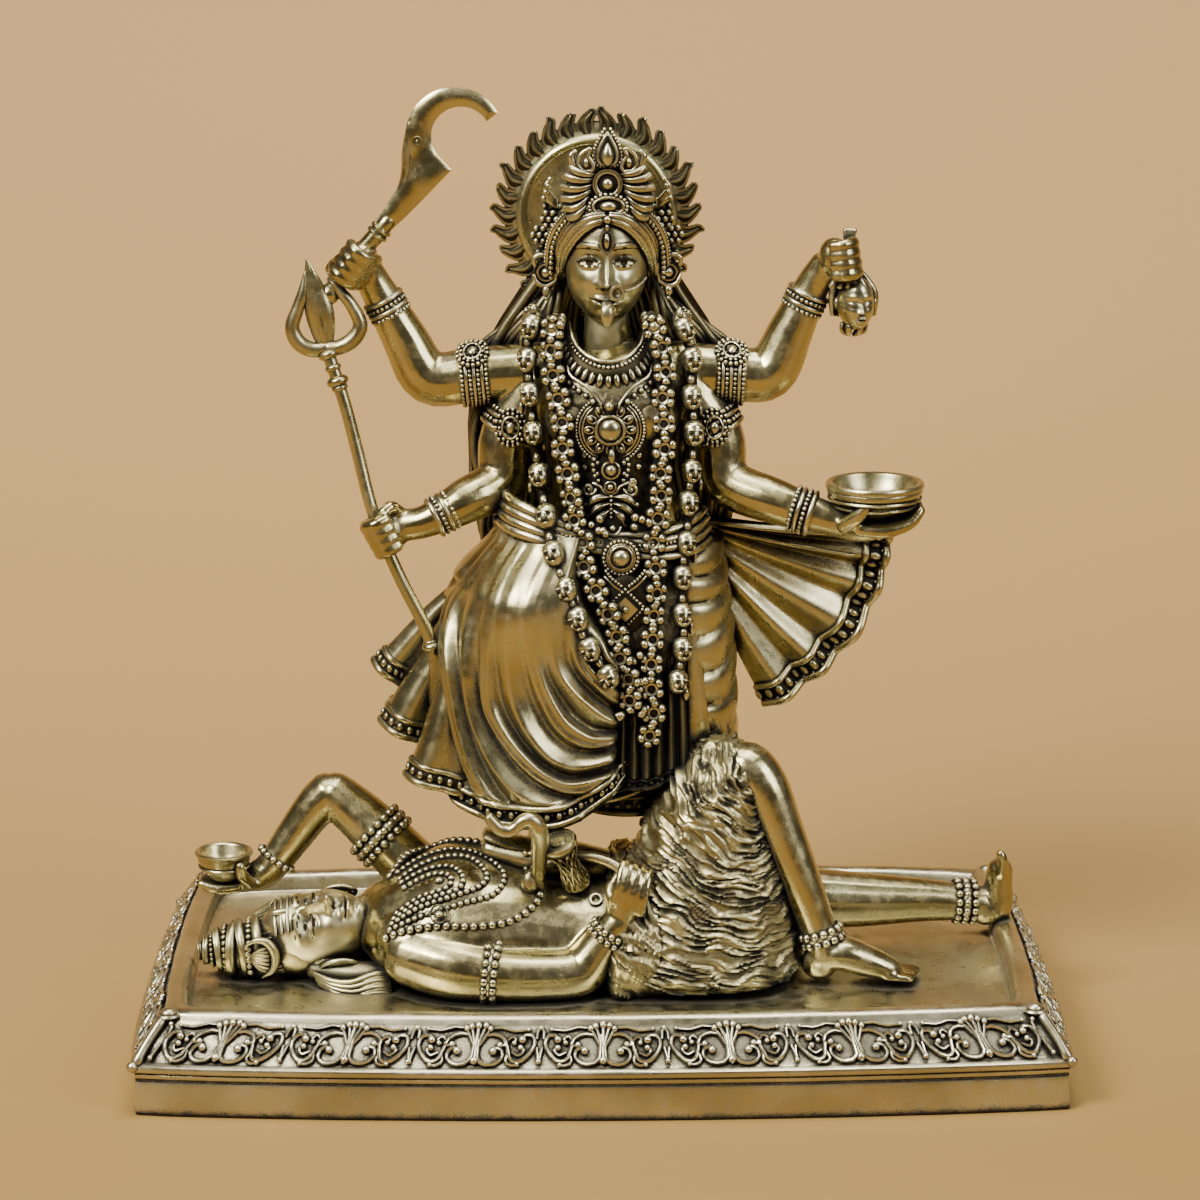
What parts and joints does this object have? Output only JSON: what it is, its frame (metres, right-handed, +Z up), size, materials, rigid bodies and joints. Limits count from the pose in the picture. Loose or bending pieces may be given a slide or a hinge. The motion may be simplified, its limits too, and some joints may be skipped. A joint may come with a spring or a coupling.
{
  "type": "kali figure",
  "caption": "Cast brass ornament: a four-armed goddess with sword, trident, severed head and bowl stands on a reclining figure on a plinth with a scroll frieze.",
  "frame": {"origin": "middle of the plinth's underside", "axes": "+Z up to the sword's top, +X along the plinth to the viewer's right, +Y away from the viewer who faces the goddess"},
  "size_m": [0.137, 0.082, 0.1422],
  "materials": {
    "plinth_brass": "cast brass, darkened in the recesses and rubbed bright on the edges",
    "lying_brass": "cast brass, polished limbs, dark in the hair and beads",
    "goddess_brass": "cast brass, polished limbs and cloth, dark in the carving"
  },
  "bodies": {
    "root": {"plinth": "plinth_brass", "shiva": "lying_brass", "kali": "goddess_brass"}
  },
  "joints": []
}
